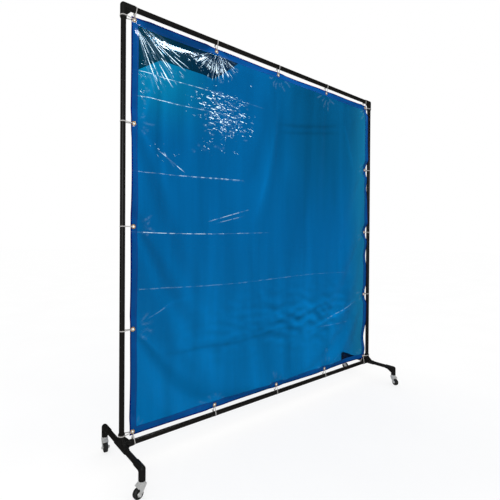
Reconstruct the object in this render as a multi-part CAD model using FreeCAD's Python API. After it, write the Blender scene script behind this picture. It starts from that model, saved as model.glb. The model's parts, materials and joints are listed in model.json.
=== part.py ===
import FreeCAD, Part
import math
import os

# Welding curtain screen: a square tube frame on four swivel casters, with a film curtain tied into it.
# All sizes are millimetres. X runs along the rails, Y from the front to the back, and Z is up.
# The origin is on the floor, under the middle of the curtain.

# Tube frame
UPRIGHT_SPACING = 1800.0      # between the axes of the two uprights
RAIL_SPACING = 1790.0         # between the axes of the two rails
BOTTOM_RAIL_HEIGHT = 103.0    # axis of the bottom rail above the floor
FOOT_REACH = 188.0            # axis of each caster leg in front of or behind the uprights
TUBE_RADIUS = 11.0
TUBE_WALL = 1.2
TUBE_END_GAP = 0.5            # between a tube's end and the bottom of its socket

# Moulded corner fittings
SOCKET_RADIUS = 13.5
SOCKET_REACH = 50.0           # from the crossing of the axes to a socket's mouth
LEG_SOCKET_REACH = 41.0       # the same, for the short socket that holds a caster
SOCKET_STOP = 14.0            # from the crossing to the bottom of a socket's bore
SLIP_GAP = 0.05               # radial gap of every push fit
MOUTH_ROUND = 1.0
MOUTH_CHAMFER = 0.8
WEB_THICKNESS = 6.0
WEB_RUN = 36.0                # how far a gusset web runs along each socket
LEG_WEB_RUN = 32.0            # the same, down the short socket
LEG_WEB_RUN_LEVEL = 42.0      # the same, along the level socket of a leg elbow
WEB_ROOT = 12.0               # height of the web's ends above the socket axis

# Curtain
CURTAIN_WIDTH = 1730.0
CURTAIN_HEIGHT = 1730.0
FILM_THICKNESS = 0.5
HEM_WIDTH = 30.0
HEM_FOLD_THICKNESS = 0.5
EYELET_COUNT = 5              # along each side, corners included
EYELET_INSET = 13.0           # eyelet centre from the curtain's edge
EYELET_HOLE_RADIUS = 5.0
EYELET_BARREL_RADIUS = 5.6
EYELET_FLANGE_RADIUS = 9.75
EYELET_LIP = 0.4              # height of the rolled inner edge over the film
EYELET_CROWN = 1.25           # height of the flange's domed top over the film
FACE_GAP = 0.02               # between faces that bear on each other

# Cable ties
TIE_WIDTH = 3.6
TIE_THICKNESS = 1.3
TIE_WRAP_GAP = 0.1            # between a strap and the tube it goes round
TIE_NOSE_RADIUS = 2.8         # inside bend of the strap where it goes through an eyelet
TIE_EYELET_GAP = 0.6          # between the strap and the rim of the eyelet's hole
TIE_HEAD_LENGTH = 6.5
TIE_HEAD_WIDTH = 5.6
TIE_HEAD_HEIGHT = 4.6
TIE_TAIL_LENGTH = 7.0
TIE_HEAD_PLACE = 0.2          # how far along the straight run from the tube to the eyelet the head sits
CORNER_TIE_OFFSET = 4.0       # of a corner's rail tie beyond the socket's mouth

# Casters
WHEEL_RADIUS = 20.0
WHEEL_TRAIL = 16.0            # of the wheel's axle behind the swivel axis
TYRE_WIDTH = 18.0
TYRE_ROUND = 4.5
HUB_RADIUS = 14.5
HUB_RIM_WIDTH = 15.0
HUB_WEB_WIDTH = 6.0
HUB_RIM_THICKNESS = 2.5
HUB_BOSS_RADIUS = 6.5
HUB_BOSS_WIDTH = 20.0
HUB_DRAFT = 1.0               # taper of the rim and boss down to the web
AXLE_RADIUS = 3.0
AXLE_RUNNING_GAP = 0.06
HEX_ACROSS_FLATS = 10.0
HEX_CORNER_RADIUS = 5.54      # after the hexagon's corners are turned off
BOLT_HEAD_HEIGHT = 4.0
NUT_HEIGHT = 5.0
BOLT_TIP = 1.5                # of the bolt beyond its nut
FORK_GAP = 21.0               # between the cheeks
FORK_SHEET = 2.0
FORK_CEILING = 52.0           # underside of the fork's top plate above the floor
FORK_BACK = 13.0              # of the fork's top plate behind the swivel axis
FORK_BEND = 12.0              # where the top plate starts to slope down over the wheel
FORK_LIP = 23.0               # furthest reach of the sloping plate
FORK_LIP_DROP = 8.0           # of the lip below the top plate
FORK_LIP_DEPTH = 3.0
WAIST_FRONT = 14.0            # front edge of a cheek at its narrowest
WAIST_TOP = 15.0              # below the top plate
WAIST_FOOT = 23.0
WAIST_BACK = 2.0              # back edge of a cheek at its narrowest, behind the swivel axis
BACK_EDGE_DROP = 5.0          # straight part of the cheek's back edge under the top plate
AXLE_EAR_RADIUS = 8.5         # of the cheek's foot round the axle
AXLE_EAR_DROP = 6.0
AXLE_EAR_FOOT = 6.5
FORK_ROUND_LOW = 2.5
FORK_ROUND_HIGH = 1.2
CROWN_RADIUS = 14.6
CROWN_ROUND = 0.8
RACE_RING_HEIGHT = 1.2
RACE_BORE_RADIUS = 7.0
BALL_RADIUS = 2.0
BALL_COUNT = 14
BALL_PITCH_RADIUS = 9.9
BALL_GAP = 0.05
CUP_RADIUS = 13.4
CUP_WALL = 1.4
CUP_ROOF = 1.6
CUP_ROUND = 1.2
CUP_SKIRT_GAP = 0.3           # between the cup's skirt and the fork's crown
PIN_RADIUS = 4.0
PIN_RUNNING_GAP = 0.06
PIN_HEAD_RADIUS = 6.5
PIN_HEAD_HEIGHT = 2.0
END_CHAMFER = 1.0             # of the stem's top and of its riveted head
COLLAR_RADIUS = 6.0
STEM_RADIUS = 5.0
STEM_LENGTH = 23.0            # inside the plastic insert
INSERT_LENGTH = 25.0
INSERT_FLANGE_RADIUS = 12.3
INSERT_FLANGE = 1.0
INSERT_CORE_RADIUS = 10.4
INSERT_RING_COUNT = 3
INSERT_RING_HEIGHT = 3.0

# Direction in which each caster trails at rest, in degrees from +X towards +Y
CASTER_TRAIL_ANGLE = {"front_left": 185.0, "front_right": 252.0, "rear_left": 261.0, "rear_right": 323.0}

Vector = FreeCAD.Vector
ORIGIN = Vector(0, 0, 0)
LEFT = Vector(-1, 0, 0)
RIGHT = Vector(1, 0, 0)
FRONT = Vector(0, -1, 0)
REAR = Vector(0, 1, 0)
UP = Vector(0, 0, 1)
DOWN = Vector(0, 0, -1)

TOP_RAIL_HEIGHT = BOTTOM_RAIL_HEIGHT + RAIL_SPACING
UPRIGHT_X = UPRIGHT_SPACING / 2
CURTAIN_MIDDLE = (BOTTOM_RAIL_HEIGHT + TOP_RAIL_HEIGHT) / 2
LEG_MOUTH = BOTTOM_RAIL_HEIGHT - LEG_SOCKET_REACH
LEGS = {
    "front_left": Vector(-UPRIGHT_X, -FOOT_REACH, 0),
    "front_right": Vector(UPRIGHT_X, -FOOT_REACH, 0),
    "rear_left": Vector(-UPRIGHT_X, FOOT_REACH, 0),
    "rear_right": Vector(UPRIGHT_X, FOOT_REACH, 0),
}


def save(node, *solids):
    """Writes one sub-part, which is a single solid or a group of identical ones."""
    shape = solids[0] if len(solids) == 1 else Part.makeCompound(list(solids))
    shape.exportStep(os.path.join("parts", node + ".step"))


def turned_from_up(shape, direction):
    """The shape, modelled along +Z from the origin, turned to point along direction."""
    turned = shape.copy()
    turned.Placement = FreeCAD.Placement(ORIGIN, FreeCAD.Rotation(UP, direction))
    return turned


def moved(shape, offset):
    placed = shape.copy()
    placed.translate(offset)
    return placed


def flat_face(points):
    return Part.Face(Part.makePolygon(list(points) + [points[0]]))


def revolved(outline):
    """A full turn about Z of an outline given as (radius, height) points."""
    face = flat_face([Vector(radius, 0, height) for radius, height in outline])
    return face.revolve(ORIGIN, UP, 360)


def circles_at_height(shape, height, radius):
    found = []
    for edge in shape.Edges:
        if not isinstance(edge.Curve, Part.Circle):
            continue
        if abs(edge.CenterOfMass.z - height) < 1e-6 and abs(edge.Curve.Radius - radius) < 1e-6:
            found.append(edge)
    return found


# ---------------------------------------------------------------- tubes and fittings

def tube(start, direction, length):
    outside = Part.makeCylinder(TUBE_RADIUS, length, start, direction)
    inside = Part.makeCylinder(TUBE_RADIUS - TUBE_WALL, length, start, direction)
    return outside.cut(inside)


def tube_between(first_crossing, second_crossing):
    """The tube that fills the sockets of two fittings, whose axes cross at the two points."""
    span = second_crossing - first_crossing
    direction = Vector(span).normalize()
    pull_back = SOCKET_STOP + TUBE_END_GAP
    return tube(first_crossing + direction * pull_back, direction, span.Length - 2 * pull_back)


def socket_outside(direction, reach):
    barrel = Part.makeCylinder(SOCKET_RADIUS, reach)
    barrel = barrel.makeFillet(MOUTH_ROUND, circles_at_height(barrel, reach, SOCKET_RADIUS))
    return turned_from_up(barrel, direction)


def socket_bore(direction, reach):
    bore_radius = TUBE_RADIUS + SLIP_GAP
    flare_radius = bore_radius + MOUTH_CHAMFER
    bore = revolved([
        (0, SOCKET_STOP),
        (bore_radius, SOCKET_STOP),
        (bore_radius, reach - MOUTH_CHAMFER),
        (flare_radius, reach),
        (flare_radius, reach + 1),
        (0, reach + 1),
    ])
    return turned_from_up(bore, direction)


def gusset_web(first, first_run, second, second_run):
    """The flat web in the corner between two sockets, centred on their common plane."""
    sheet = flat_face([
        ORIGIN,
        first * first_run,
        first * first_run + second * WEB_ROOT,
        first * WEB_ROOT + second * second_run,
        second * second_run,
    ])
    normal = first.cross(second)
    return moved(sheet.extrude(normal * WEB_THICKNESS), normal * (-WEB_THICKNESS / 2))


def fitting(crossing, sockets, webs):
    """A moulded fitting. sockets holds (direction, reach), and webs holds gusset_web arguments."""
    body = Part.makeSphere(SOCKET_RADIUS)
    body = body.fuse([socket_outside(*socket) for socket in sockets] + [gusset_web(*web) for web in webs])
    body = body.cut([socket_bore(*socket) for socket in sockets])
    return moved(body.removeSplitter(), crossing)


def top_elbow(crossing, inward):
    return fitting(
        crossing,
        [(DOWN, SOCKET_REACH), (inward, SOCKET_REACH)],
        [(DOWN, WEB_RUN, inward, WEB_RUN)],
    )


def four_way(crossing, inward):
    """The bottom corner: up, inward along the rail, and forward and back to the two feet."""
    corners = [(UP, inward), (UP, FRONT), (UP, REAR), (inward, FRONT), (inward, REAR)]
    return fitting(
        crossing,
        [(direction, SOCKET_REACH) for direction in (UP, inward, FRONT, REAR)],
        [(first, WEB_RUN, second, WEB_RUN) for first, second in corners],
    )


def leg_elbow(crossing, towards_frame):
    return fitting(
        crossing,
        [(DOWN, LEG_SOCKET_REACH), (towards_frame, SOCKET_REACH)],
        [(DOWN, LEG_WEB_RUN, towards_frame, LEG_WEB_RUN_LEVEL)],
    )


def build_frame():
    crossings = {
        (side, level): Vector(x, 0, height)
        for side, x in (("left", -UPRIGHT_X), ("right", UPRIGHT_X))
        for level, height in (("top", TOP_RAIL_HEIGHT), ("bottom", BOTTOM_RAIL_HEIGHT))
    }
    for side, inward in (("left", RIGHT), ("right", LEFT)):
        top = crossings[side, "top"]
        bottom = crossings[side, "bottom"]
        save(side + "_upright_tube", tube_between(bottom, top))
        save("top_" + side + "_elbow", top_elbow(top, inward))
        save("bottom_" + side + "_four_way_fitting", four_way(bottom, inward))
    for level in ("top", "bottom"):
        save(level + "_rail_tube", tube_between(crossings["left", level], crossings["right", level]))
    for corner, foot in LEGS.items():
        corner_height = UP * BOTTOM_RAIL_HEIGHT
        leg_crossing = foot + corner_height
        frame_crossing = Vector(foot.x, 0, 0) + corner_height
        towards_frame = REAR if foot.y < 0 else FRONT
        save(corner + "_foot_tube", tube_between(frame_crossing, leg_crossing))
        save(corner + "_leg_elbow", leg_elbow(leg_crossing, towards_frame))


# ---------------------------------------------------------------- curtain, eyelets and ties

def eyelet_places():
    """Centres of the eyelets, evenly spaced round the curtain, corners included."""
    half_width = CURTAIN_WIDTH / 2 - EYELET_INSET
    half_height = CURTAIN_HEIGHT / 2 - EYELET_INSET
    last = EYELET_COUNT - 1
    places = []
    for column in range(EYELET_COUNT):
        for row in range(EYELET_COUNT):
            if column in (0, last) or row in (0, last):
                x = half_width * (2 * column / last - 1)
                z = CURTAIN_MIDDLE + half_height * (2 * row / last - 1)
                places.append(Vector(x, 0, z))
    return places


def upright_sheet(width, height, front, thickness):
    """A rectangular sheet in the curtain's plane, centred on the curtain."""
    corner = Vector(-width / 2, front, CURTAIN_MIDDLE - height / 2)
    return Part.makeBox(width, thickness, height, corner)


def curtain_sheet():
    """The film with its edges folded to the back as a hem, and a hole at each eyelet."""
    film_front = -FILM_THICKNESS / 2
    hem_front = FILM_THICKNESS / 2
    sheet = upright_sheet(CURTAIN_WIDTH, CURTAIN_HEIGHT, film_front, FILM_THICKNESS)
    fold = upright_sheet(CURTAIN_WIDTH, CURTAIN_HEIGHT, hem_front, HEM_FOLD_THICKNESS)
    open_width = CURTAIN_WIDTH - 2 * HEM_WIDTH
    open_height = CURTAIN_HEIGHT - 2 * HEM_WIDTH
    fold = fold.cut(upright_sheet(open_width, open_height, hem_front, HEM_FOLD_THICKNESS))
    sheet = sheet.fuse(fold)
    hole_radius = EYELET_BARREL_RADIUS + SLIP_GAP
    hole_length = 4 * (FILM_THICKNESS + HEM_FOLD_THICKNESS)
    front_of_hole = FRONT * (hole_length / 2)
    holes = []
    for place in eyelet_places():
        holes.append(Part.makeCylinder(hole_radius, hole_length, place + front_of_hole, REAR))
    return sheet.cut(holes).removeSplitter()


def eyelet():
    """A brass eyelet about the Y axis: a barrel through the hem with a domed flange on each side."""
    half_hem = (FILM_THICKNESS + HEM_FOLD_THICKNESS) / 2
    under = half_hem + FACE_GAP
    lip = half_hem + EYELET_LIP
    crown = Vector((EYELET_HOLE_RADIUS + EYELET_FLANGE_RADIUS) / 2, 0, half_hem + EYELET_CROWN)
    inner_edge = Vector(EYELET_HOLE_RADIUS, 0, lip)
    outer_edge = Vector(EYELET_FLANGE_RADIUS, 0, under)
    root = Vector(EYELET_BARREL_RADIUS, 0, under)

    def below(point):
        return Vector(point.x, 0, -point.z)

    outline = Part.Wire([
        Part.makeLine(below(inner_edge), inner_edge),
        Part.Arc(inner_edge, crown, outer_edge).toShape(),
        Part.makeLine(outer_edge, root),
        Part.makeLine(root, below(root)),
        Part.makeLine(below(root), below(outer_edge)),
        Part.Arc(below(outer_edge), below(crown), below(inner_edge)).toShape(),
    ])
    solid = Part.Face(outline).revolve(ORIGIN, UP, 360)
    return turned_from_up(solid, REAR)


def loop_outline(wrap_radius, nose_radius, nose_distance):
    """A closed loop in the XY plane round the origin and round a smaller nose further along +X."""
    tilt = math.asin((wrap_radius - nose_radius) / nose_distance)
    across = math.cos(tilt)
    along = math.sin(tilt)

    def wrap_end(side):
        return Vector(wrap_radius * along, side * wrap_radius * across, 0)

    def nose_end(side):
        return Vector(nose_distance + nose_radius * along, side * nose_radius * across, 0)

    return Part.Wire([
        Part.Arc(wrap_end(1), Vector(-wrap_radius, 0, 0), wrap_end(-1)).toShape(),
        Part.makeLine(wrap_end(-1), nose_end(-1)),
        Part.Arc(nose_end(-1), Vector(nose_distance + nose_radius, 0, 0), nose_end(1)).toShape(),
        Part.makeLine(nose_end(1), wrap_end(1)),
    ])


def tie_clasp(tilt, place):
    """The head, with the strap's end standing out of it, on a strap that leans in by tilt."""
    head = Part.makeBox(
        TIE_HEAD_LENGTH, TIE_HEAD_HEIGHT, TIE_HEAD_WIDTH,
        Vector(-TIE_HEAD_LENGTH / 2, 0, -TIE_HEAD_WIDTH / 2),
    )
    tail = Part.makeBox(
        TIE_THICKNESS, TIE_HEAD_HEIGHT + TIE_TAIL_LENGTH, TIE_WIDTH,
        Vector(-TIE_THICKNESS / 2, 0, -TIE_WIDTH / 2),
    )
    clasp = head.fuse(tail)
    clasp.rotate(ORIGIN, UP, -math.degrees(tilt))
    return moved(clasp, place)


def cable_tie(pole_radius, eyelet_distance):
    """A closed tie round a pole along Z at the origin and through an eyelet at +X. Its head is at the rear."""
    wrap_radius = pole_radius + TIE_WRAP_GAP
    nose_distance = eyelet_distance - EYELET_HOLE_RADIUS + TIE_EYELET_GAP - TIE_NOSE_RADIUS
    inside = loop_outline(wrap_radius, TIE_NOSE_RADIUS, nose_distance)
    outside = loop_outline(wrap_radius + TIE_THICKNESS, TIE_NOSE_RADIUS + TIE_THICKNESS, nose_distance)
    across = UP * TIE_WIDTH
    band = Part.Face(outside).extrude(across).cut(Part.Face(inside).extrude(across))
    band = moved(band, across * -0.5)
    # The straight run touches both bends, so its distance from the loop's middle line falls evenly along it.
    tilt = math.asin((wrap_radius - TIE_NOSE_RADIUS) / nose_distance)
    reach = wrap_radius + (TIE_NOSE_RADIUS - wrap_radius) * TIE_HEAD_PLACE
    head_x = nose_distance * TIE_HEAD_PLACE + reach * math.sin(tilt)
    clasp = tie_clasp(tilt, Vector(head_x, reach * math.cos(tilt), 0))
    return band.fuse(clasp).removeSplitter()


def rail_tie(place, rail_height, lean=0.0):
    """A tie from the eyelet at place up or down to a rail. lean moves its turn round the rail along X."""
    towards_curtain = DOWN if rail_height > place.z else UP
    across = towards_curtain.cross(REAR)
    distance = abs(rail_height - place.z)
    slant = math.atan2(lean, distance)
    # A leaning strap crosses the tube at an angle, so it needs a little more room round it.
    lean_room = TIE_WIDTH / 2 * math.sin(abs(slant)) + TUBE_RADIUS * (1 / math.cos(slant) - 1)
    tie = cable_tie(TUBE_RADIUS + lean_room, distance / math.cos(slant))
    tie.Placement = FreeCAD.Placement(ORIGIN, FreeCAD.Rotation(towards_curtain, REAR, across, "XYZ"))
    tie.rotate(ORIGIN, REAR, math.degrees(slant) * across.x)
    return moved(tie, Vector(place.x + lean, 0, rail_height))


def upright_tie(place, pole_radius):
    """A level tie from the eyelet at place out to its nearer upright, or to the socket round that."""
    tie = cable_tie(pole_radius, UPRIGHT_X - abs(place.x))
    if place.x > 0:
        tie = tie.mirror(ORIGIN, RIGHT)
    return moved(tie, Vector(math.copysign(UPRIGHT_X, place.x), 0, place.z))


def build_ties():
    """Every eyelet has a tie to the tube beside it, and each corner eyelet has one to both of its tubes."""
    groups = {"top": [], "bottom": [], "left": [], "right": []}
    places = eyelet_places()
    outer_x = max(place.x for place in places)
    outer_z = max(place.z for place in places) - CURTAIN_MIDDLE
    corner_lean = outer_x - (UPRIGHT_X - SOCKET_REACH - CORNER_TIE_OFFSET)
    for place in places:
        by_upright = math.isclose(abs(place.x), outer_x)
        by_rail = math.isclose(abs(place.z - CURTAIN_MIDDLE), outer_z)
        if by_rail:
            level = "top" if place.z > CURTAIN_MIDDLE else "bottom"
            rail_height = TOP_RAIL_HEIGHT if level == "top" else BOTTOM_RAIL_HEIGHT
            lean = -math.copysign(corner_lean, place.x) if by_upright else 0.0
            groups[level].append(rail_tie(place, rail_height, lean))
        if by_upright:
            side = "left" if place.x < 0 else "right"
            groups[side].append(upright_tie(place, SOCKET_RADIUS if by_rail else TUBE_RADIUS))
    for name, ties in groups.items():
        save(name + "_cable_ties", *ties)


def build_curtain():
    save("curtain_sheet", curtain_sheet())
    hem_centre = REAR * (HEM_FOLD_THICKNESS / 2)
    save("brass_eyelets", *[moved(eyelet(), place + hem_centre) for place in eyelet_places()])
    build_ties()


# ---------------------------------------------------------------- casters
# Each piece is modelled on the swivel axis along Z from the floor, trailing along +X, with the axle along Y.

CUP_TOP = LEG_MOUTH - INSERT_FLANGE - FACE_GAP
CUP_CEILING = CUP_TOP - CUP_ROOF
CROWN_TOP = FORK_CEILING + FORK_SHEET
CHEEK_OUTSIDE = FORK_GAP / 2 + FORK_SHEET
AXLE_CENTRE = Vector(WHEEL_TRAIL, 0, WHEEL_RADIUS)


def stem_insert():
    """The plastic plug that is driven into the leg socket and grips the caster's stem."""
    bore = STEM_RADIUS + SLIP_GAP
    flange_foot = LEG_MOUTH - INSERT_FLANGE
    flange_top = LEG_MOUTH - FACE_GAP
    ring_pitch = (INSERT_LENGTH - INSERT_RING_HEIGHT) / (INSERT_RING_COUNT - 1)
    outline = [(bore, flange_foot), (INSERT_FLANGE_RADIUS, flange_foot), (INSERT_FLANGE_RADIUS, flange_top)]
    for ring in range(INSERT_RING_COUNT):
        ring_foot = flange_top + ring * ring_pitch
        ring_top = ring_foot + INSERT_RING_HEIGHT
        outline += [(TUBE_RADIUS, ring_foot), (TUBE_RADIUS, ring_top), (INSERT_CORE_RADIUS, ring_top)]
        outline.append((INSERT_CORE_RADIUS, ring_foot + ring_pitch))
    # The last ring ends the plug, so the waist that would follow it is left out.
    outline = outline[:-2]
    outline.append((bore, flange_top + INSERT_LENGTH))
    return revolved(outline)


def caster_stem():
    """The steel stem, with the collar that carries the cup and the riveted head that holds the fork."""
    head_top = FORK_CEILING - PIN_RUNNING_GAP
    collar_foot = CROWN_TOP + PIN_RUNNING_GAP
    collar_top = CUP_CEILING - FACE_GAP
    stem_top = LEG_MOUTH + STEM_LENGTH
    return revolved([
        (0, head_top - PIN_HEAD_HEIGHT),
        (PIN_HEAD_RADIUS - END_CHAMFER, head_top - PIN_HEAD_HEIGHT),
        (PIN_HEAD_RADIUS, head_top - PIN_HEAD_HEIGHT + END_CHAMFER),
        (PIN_HEAD_RADIUS, head_top),
        (PIN_RADIUS, head_top),
        (PIN_RADIUS, collar_foot),
        (COLLAR_RADIUS, collar_foot),
        (COLLAR_RADIUS, collar_top),
        (STEM_RADIUS, collar_top),
        (STEM_RADIUS, stem_top - END_CHAMFER),
        (STEM_RADIUS - END_CHAMFER, stem_top),
        (0, stem_top),
    ])


def bearing_cup():
    """The pressed cup on the stem that holds the upper ball race."""
    skirt_foot = CROWN_TOP + CUP_SKIRT_GAP
    hole = STEM_RADIUS + FACE_GAP
    cup = revolved([
        (hole, CUP_CEILING),
        (CUP_RADIUS - CUP_WALL, CUP_CEILING),
        (CUP_RADIUS - CUP_WALL, skirt_foot),
        (CUP_RADIUS, skirt_foot),
        (CUP_RADIUS, CUP_TOP),
        (hole, CUP_TOP),
    ])
    return cup.makeFillet(CUP_ROUND, circles_at_height(cup, CUP_TOP, CUP_RADIUS))


def bearing_balls():
    centre_height = CROWN_TOP + RACE_RING_HEIGHT + BALL_GAP + BALL_RADIUS
    balls = []
    for index in range(BALL_COUNT):
        angle = 2 * math.pi * index / BALL_COUNT
        x = BALL_PITCH_RADIUS * math.cos(angle)
        y = BALL_PITCH_RADIUS * math.sin(angle)
        balls.append(Part.makeSphere(BALL_RADIUS, Vector(x, y, centre_height)))
    return balls


def side_prism(outline, width):
    """A prism across the fork, from an outline of (distance along the trail, height) points."""
    face = flat_face([Vector(along, -width / 2, height) for along, height in outline])
    return face.extrude(REAR * width)


def round_cross_edges(shape, lowest, highest, radius):
    """The shape with its edges that run along Y between two heights rounded."""
    edges = []
    for edge in shape.Edges:
        straight = isinstance(edge.Curve, Part.Line) and abs(edge.tangentAt(edge.FirstParameter).y) > 0.999
        if straight and lowest < edge.CenterOfMass.z < highest:
            edges.append(edge)
    return shape.makeFillet(radius, edges)


def fork_shell():
    """The folded sheet: a top plate that slopes down over the wheel, and a waisted cheek on each side."""
    outside = side_prism([
        (-FORK_BACK, CROWN_TOP),
        (FORK_BEND, CROWN_TOP),
        (FORK_LIP, CROWN_TOP - FORK_LIP_DROP),
        (FORK_LIP - 1, CROWN_TOP - FORK_LIP_DROP - FORK_LIP_DEPTH),
        (WAIST_FRONT, CROWN_TOP - WAIST_TOP),
        (WAIST_FRONT, CROWN_TOP - WAIST_FOOT),
        (WHEEL_TRAIL + AXLE_EAR_RADIUS, WHEEL_RADIUS + AXLE_EAR_DROP),
        (WHEEL_TRAIL + AXLE_EAR_FOOT, WHEEL_RADIUS - AXLE_EAR_DROP),
        (WHEEL_TRAIL - AXLE_EAR_FOOT, WHEEL_RADIUS - AXLE_EAR_DROP),
        (-WAIST_BACK, CROWN_TOP - WAIST_FOOT),
        (-FORK_BACK, CROWN_TOP - BACK_EDGE_DROP),
    ], 2 * CHEEK_OUTSIDE)
    waist = CROWN_TOP - (WAIST_TOP + WAIST_FOOT) / 2
    outside = round_cross_edges(outside, 0.0, waist, FORK_ROUND_LOW)
    outside = round_cross_edges(outside, waist, CROWN_TOP - FORK_ROUND_HIGH, FORK_ROUND_HIGH)
    return outside.cut(fork_opening())


def fork_opening():
    """The space between the cheeks, open below and at both ends, under a ceiling parallel to the top plate."""
    slope = math.atan2(FORK_LIP_DROP, FORK_LIP - FORK_BEND)
    # Two faces of one bent plate meet the bend's middle plane at points this far apart along it.
    bend_x = FORK_BEND - FORK_SHEET * math.tan(slope / 2)
    clear = 2 * FORK_LIP
    drop = (clear - bend_x) * math.tan(slope)
    return side_prism([
        (-clear, FORK_CEILING),
        (bend_x, FORK_CEILING),
        (clear, FORK_CEILING - drop),
        (clear, -clear),
        (-clear, -clear),
    ], FORK_GAP)


def caster_fork():
    """The shell, with the crown and race that turn under the cup, and the holes for the pin and the axle."""
    crown = Part.makeCylinder(CROWN_RADIUS, FORK_SHEET, UP * FORK_CEILING)
    crown = crown.makeFillet(CROWN_ROUND, circles_at_height(crown, CROWN_TOP, CROWN_RADIUS))
    race = Part.makeCylinder(BALL_PITCH_RADIUS + BALL_RADIUS, RACE_RING_HEIGHT, UP * CROWN_TOP)
    race = race.cut(Part.makeCylinder(RACE_BORE_RADIUS, RACE_RING_HEIGHT, UP * CROWN_TOP))
    under_plate = UP * (FORK_CEILING - FORK_SHEET)
    pin_hole = Part.makeCylinder(PIN_RADIUS + PIN_RUNNING_GAP, 4 * FORK_SHEET, under_plate)
    axle_start = AXLE_CENTRE + FRONT * (2 * CHEEK_OUTSIDE)
    axle_hole = Part.makeCylinder(AXLE_RADIUS + SLIP_GAP, 4 * CHEEK_OUTSIDE, axle_start, REAR)
    return fork_shell().fuse([crown, race]).cut([pin_hole, axle_hole]).removeSplitter()


def hexagon(height, start):
    """A hexagonal prism along Y from the point start, with its corners lightly turned off."""
    corner_radius = HEX_ACROSS_FLATS / math.sqrt(3)
    corners = []
    for index in range(6):
        angle = math.pi / 3 * index
        corners.append(start + Vector(corner_radius * math.cos(angle), 0, corner_radius * math.sin(angle)))
    prism = flat_face(corners).extrude(REAR * height)
    turned = Part.makeCylinder(HEX_CORNER_RADIUS, height, start, REAR)
    return prism.common(turned)


def axle_bolt():
    """The bolt, with its head outside the front cheek and its tip beyond the nut."""
    under_head = AXLE_CENTRE + FRONT * (CHEEK_OUTSIDE + FACE_GAP)
    head = hexagon(BOLT_HEAD_HEIGHT, under_head + FRONT * BOLT_HEAD_HEIGHT)
    shank_length = 2 * (CHEEK_OUTSIDE + FACE_GAP) + NUT_HEIGHT + BOLT_TIP
    shank = Part.makeCylinder(AXLE_RADIUS, shank_length, under_head, REAR)
    return head.fuse(shank).removeSplitter()


def axle_nut():
    face = AXLE_CENTRE + REAR * (CHEEK_OUTSIDE + FACE_GAP)
    nut = hexagon(NUT_HEIGHT, face)
    return nut.cut(Part.makeCylinder(AXLE_RADIUS + FACE_GAP, NUT_HEIGHT, face, REAR))


def wheel_hub():
    """Rim, thin web and boss, turned about the axle."""
    bore = AXLE_RADIUS + AXLE_RUNNING_GAP
    rim_inside = HUB_RADIUS - HUB_RIM_THICKNESS
    profile = revolved([
        (bore, -HUB_BOSS_WIDTH / 2),
        (HUB_BOSS_RADIUS, -HUB_BOSS_WIDTH / 2),
        (HUB_BOSS_RADIUS + HUB_DRAFT, -HUB_WEB_WIDTH / 2),
        (rim_inside, -HUB_WEB_WIDTH / 2),
        (rim_inside + HUB_DRAFT, -HUB_RIM_WIDTH / 2),
        (HUB_RADIUS, -HUB_RIM_WIDTH / 2),
        (HUB_RADIUS, HUB_RIM_WIDTH / 2),
        (rim_inside + HUB_DRAFT, HUB_RIM_WIDTH / 2),
        (rim_inside, HUB_WEB_WIDTH / 2),
        (HUB_BOSS_RADIUS + HUB_DRAFT, HUB_WEB_WIDTH / 2),
        (HUB_BOSS_RADIUS, HUB_BOSS_WIDTH / 2),
        (bore, HUB_BOSS_WIDTH / 2),
    ])
    return moved(turned_from_up(profile, REAR), AXLE_CENTRE)


def wheel_tyre():
    inside = HUB_RADIUS + FACE_GAP
    band = revolved([
        (inside, -TYRE_WIDTH / 2),
        (WHEEL_RADIUS, -TYRE_WIDTH / 2),
        (WHEEL_RADIUS, TYRE_WIDTH / 2),
        (inside, TYRE_WIDTH / 2),
    ])
    shoulders = []
    for side in (-1, 1):
        shoulders += circles_at_height(band, side * TYRE_WIDTH / 2, WHEEL_RADIUS)
    band = band.makeFillet(TYRE_ROUND, shoulders)
    return moved(turned_from_up(band, REAR), AXLE_CENTRE)


def build_casters():
    pieces = {
        "stem_insert": [stem_insert()],
        "caster_stem": [caster_stem()],
        "bearing_cup": [bearing_cup()],
        "bearing_balls": bearing_balls(),
        "fork": [caster_fork()],
        "axle_bolt": [axle_bolt()],
        "axle_nut": [axle_nut()],
        "wheel_hub": [wheel_hub()],
        "tyre": [wheel_tyre()],
    }
    for corner, foot in LEGS.items():
        for name, solids in pieces.items():
            placed = []
            for solid in solids:
                copy = solid.copy()
                copy.rotate(ORIGIN, UP, CASTER_TRAIL_ANGLE[corner])
                placed.append(moved(copy, foot))
            save(corner + "_" + name, *placed)


os.makedirs("parts", exist_ok=True)
build_frame()
build_curtain()
build_casters()
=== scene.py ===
import json
import math
import random

import bmesh
import bpy
import numpy as np
from mathutils import Matrix, Vector, noise


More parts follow.
